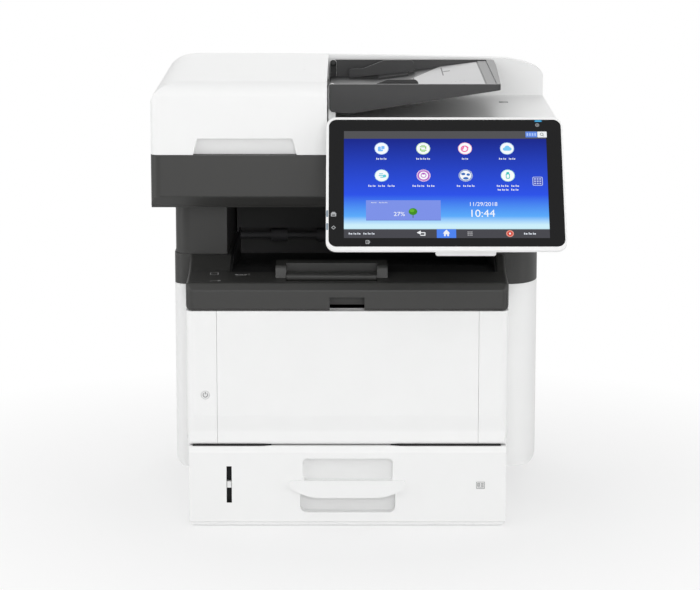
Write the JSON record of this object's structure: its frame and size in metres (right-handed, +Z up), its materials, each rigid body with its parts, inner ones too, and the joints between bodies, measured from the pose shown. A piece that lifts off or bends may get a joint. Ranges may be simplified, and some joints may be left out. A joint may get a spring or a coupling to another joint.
{
  "type": "photocopier",
  "caption": "Desktop copier and printer with flatbed scanner, document feeder, tilting colour touch panel, front bypass tray and paper drawer.",
  "frame": {"origin": "centre of the bounding box in plan, at table height", "axes": "+Z up, +X to the user's right, +Y towards the back"},
  "size_m": [0.4664, 0.497, 0.51],
  "materials": {
    "white_shell": "fine matte texture",
    "black_shell": "fine matte texture",
    "grey_tray": "fine matte texture",
    "inner_plastic": "moulded",
    "natural_plastic": "moulded",
    "green_part": "moulded",
    "steel": "zinc plated",
    "rubber": "matt",
    "roller_rubber": "matt",
    "drum_coat": "polished organic coating",
    "board": "circuit board",
    "glass": "polished",
    "panel_glass": "polished black glass",
    "screen": "lit display",
    "foam": "soft white sheet",
    "button": "satin",
    "indicator": "matt"
  },
  "bodies": {
    "machine": {"base_frame": "white_shell", "rubber_feet": "rubber", "left_side_plate": "steel", "right_side_plate": "steel", "left_side_cover": "white_shell", "right_side_cover": "white_shell", "rear_cover": "white_shell", "top_cover": "black_shell", "output_tray": "inner_plastic", "left_column": "black_shell", "right_column": "black_shell", "toner_cartridge": "inner_plastic", "laser_unit": "inner_plastic", "fuser_frame": "steel", "main_motor": "steel", "power_supply": "board", "controller_board": "board", "power_inlet": "inner_plastic", "fan_frame": "inner_plastic", "scanner_base": "black_shell", "scanner_top_frame": "black_shell", "platen_glass": "glass", "carriage_rod": "steel", "lid_hinges": "steel", "panel_arm": "white_shell", "pins_and_screws": "steel"},
    "rear_door": {"rear_door": "white_shell"},
    "paper_stopper": {"paper_stopper": "black_shell"},
    "fan": {"fan_wheel": "inner_plastic"},
    "drum": {"drum": "drum_coat"},
    "transfer_roller": {"transfer_roller": "roller_rubber"},
    "heat_roller": {"heat_roller": "roller_rubber"},
    "pressure_roller": {"pressure_roller": "roller_rubber"},
    "feed_roller": {"feed_roller": "roller_rubber"},
    "exit_roller": {"exit_roller": "roller_rubber"},
    "front_cover": {"front_cover": "white_shell"},
    "power_button": {"power_button": "button"},
    "bypass_door": {"bypass_door": "white_shell"},
    "bypass_extension": {"bypass_extension": "natural_plastic"},
    "bypass_guide_left": {"bypass_guide_left": "natural_plastic"},
    "bypass_guide_right": {"bypass_guide_right": "natural_plastic"},
    "drawer": {"drawer_box": "natural_plastic", "drawer_front": "white_shell"},
    "level_indicator": {"level_indicator": "indicator"},
    "lift_plate": {"lift_plate": "steel"},
    "side_fence_left": {"side_fence_left": "green_part"},
    "side_fence_right": {"side_fence_right": "green_part"},
    "fence_pinion": {"fence_pinion": "natural_plastic"},
    "end_fence": {"end_fence": "green_part"},
    "scan_carriage": {"scan_carriage": "inner_plastic"},
    "lid": {"lid_body": "white_shell", "platen_pad": "foam"},
    "adf_cover": {"adf_cover": "white_shell"},
    "adf_roller": {"adf_roller": "roller_rubber"},
    "document_tray": {"document_tray": "grey_tray"},
    "document_guide_front": {"document_guide_front": "grey_tray"},
    "document_guide_back": {"document_guide_back": "grey_tray"},
    "panel": {"panel_housing": "white_shell", "panel_glass": "panel_glass", "display": "screen"}
  },
  "joints": [
    {"name": "front_cover_hinge", "type": "hinge", "parent": "machine", "child": "front_cover", "pos_m": [-0.01, -0.136, 0.1045], "axis": [1, 0, 0], "range_deg": [0, 70]},
    {"name": "bypass_door_hinge", "type": "hinge", "parent": "front_cover", "child": "bypass_door", "pos_m": [-0.01, -0.136, 0.1045], "axis": [-1, 0, 0], "range_deg": [-80, 0]},
    {"name": "bypass_extension_slide", "type": "slide", "parent": "bypass_door", "child": "bypass_extension", "axis": [0, 0, 1], "range_m": [0, 0.045]},
    {"name": "bypass_guide_left_slide", "type": "slide", "parent": "bypass_door", "child": "bypass_guide_left", "axis": [1, 0, 0], "range_m": [0, 0.045]},
    {"name": "bypass_guide_right_slide", "type": "slide", "parent": "bypass_door", "child": "bypass_guide_right", "axis": [-1, 0, 0], "range_m": [0, 0.045]},
    {"name": "power_button_press", "type": "slide", "parent": "front_cover", "child": "power_button", "axis": [0, 1, 0], "range_m": [0, 0.0015], "stiffness_N_per_m": 300, "springref_m": -0.001},
    {"name": "drawer_slide", "type": "slide", "parent": "machine", "child": "drawer", "axis": [0, -1, 0], "range_m": [0, 0.29]},
    {"name": "lift_plate_hinge", "type": "hinge", "parent": "drawer", "child": "lift_plate", "pos_m": [-0.01, 0.1685, 0.0166], "axis": [-1, 0, 0], "range_deg": [0, 9]},
    {"name": "side_fence_left_slide", "type": "slide", "parent": "drawer", "child": "side_fence_left", "axis": [1, 0, 0], "range_m": [0, 0.031]},
    {"name": "side_fence_right_slide", "type": "slide", "parent": "drawer", "child": "side_fence_right", "axis": [-1, 0, 0], "range_m": [0, 0.031]},
    {"name": "fence_pinion_spin", "type": "hinge", "parent": "drawer", "child": "fence_pinion", "pos_m": [-0.01, 0.0365, 0.012], "axis": [0, 0, 1], "range_deg": [-190, 190]},
    {"name": "end_fence_slide", "type": "slide", "parent": "drawer", "child": "end_fence", "axis": [0, -1, 0], "range_m": [0, 0.087]},
    {"name": "level_indicator_slide", "type": "slide", "parent": "drawer", "child": "level_indicator", "axis": [0, 0, 1], "range_m": [0, 0.0175]},
    {"name": "lid_hinge", "type": "hinge", "parent": "machine", "child": "lid", "pos_m": [-0.01, 0.2345, 0.434], "axis": [-1, 0, 0], "range_deg": [0, 60]},
    {"name": "adf_cover_hinge", "type": "hinge", "parent": "lid", "child": "adf_cover", "pos_m": [-0.2328, 0.0565, 0.479], "axis": [0, -1, 0], "range_deg": [0, 75]},
    {"name": "adf_roller_spin", "type": "hinge", "parent": "lid", "child": "adf_roller", "pos_m": [-0.084, 0.0565, 0.479], "axis": [0, 1, 0], "continuous": true},
    {"name": "document_tray_hinge", "type": "hinge", "parent": "lid", "child": "document_tray", "pos_m": [-0.0275, 0.0565, 0.5], "axis": [0, -1, 0], "range_deg": [0, 45]},
    {"name": "document_guide_front_slide", "type": "slide", "parent": "document_tray", "child": "document_guide_front", "axis": [0, 1, 0], "range_m": [0, 0.05]},
    {"name": "document_guide_back_slide", "type": "slide", "parent": "document_tray", "child": "document_guide_back", "axis": [0, -1, 0], "range_m": [0, 0.05]},
    {"name": "scan_carriage_slide", "type": "slide", "parent": "machine", "child": "scan_carriage", "axis": [1, 0, 0], "range_m": [0, 0.36]},
    {"name": "panel_tilt", "type": "hinge", "parent": "machine", "child": "panel", "pos_m": [0.1205, -0.18348, 0.39013], "axis": [1, 0, 0], "range_deg": [0, 35]},
    {"name": "rear_door_hinge", "type": "hinge", "parent": "machine", "child": "rear_door", "pos_m": [-0.01, 0.2463, 0.104], "axis": [-1, 0, 0], "range_deg": [0, 80]},
    {"name": "paper_stopper_hinge", "type": "hinge", "parent": "machine", "child": "paper_stopper", "pos_m": [-0.01, -0.103, 0.2862], "axis": [-1, 0, 0], "range_deg": [0, 100]},
    {"name": "fan_spin", "type": "hinge", "parent": "machine", "child": "fan", "pos_m": [0.164, 0.2365, 0.226], "axis": [0, 1, 0], "continuous": true},
    {"name": "drum_spin", "type": "hinge", "parent": "machine", "child": "drum", "pos_m": [-0.01, 0.0215, 0.141], "axis": [1, 0, 0], "continuous": true},
    {"name": "transfer_roller_spin", "type": "hinge", "parent": "machine", "child": "transfer_roller", "pos_m": [-0.01, 0.0215, 0.1175], "axis": [1, 0, 0], "continuous": true},
    {"name": "heat_roller_spin", "type": "hinge", "parent": "machine", "child": "heat_roller", "pos_m": [-0.01, 0.1815, 0.16], "axis": [1, 0, 0], "continuous": true},
    {"name": "pressure_roller_spin", "type": "hinge", "parent": "machine", "child": "pressure_roller", "pos_m": [-0.01, 0.1815, 0.1336], "axis": [1, 0, 0], "continuous": true},
    {"name": "feed_roller_spin", "type": "hinge", "parent": "machine", "child": "feed_roller", "pos_m": [-0.01, -0.0815, 0.102], "axis": [1, 0, 0], "continuous": true},
    {"name": "exit_roller_spin", "type": "hinge", "parent": "machine", "child": "exit_roller", "pos_m": [-0.01, 0.1525, 0.291], "axis": [1, 0, 0], "continuous": true}
  ],
  "couplings": [
    {"joint": "bypass_guide_left_slide", "follows": "bypass_guide_right_slide", "ratio": 1},
    {"joint": "side_fence_left_slide", "follows": "side_fence_right_slide", "ratio": 1},
    {"joint": "fence_pinion_spin", "follows": "side_fence_right_slide", "rad_per_m": 100},
    {"joint": "level_indicator_slide", "follows": "lift_plate_hinge", "m_per_rad": 0.11},
    {"joint": "document_guide_back_slide", "follows": "document_guide_front_slide", "ratio": 1},
    {"joint": "transfer_roller_spin", "follows": "drum_spin", "ratio": -1.8293},
    {"joint": "pressure_roller_spin", "follows": "heat_roller_spin", "ratio": -1}
  ]
}
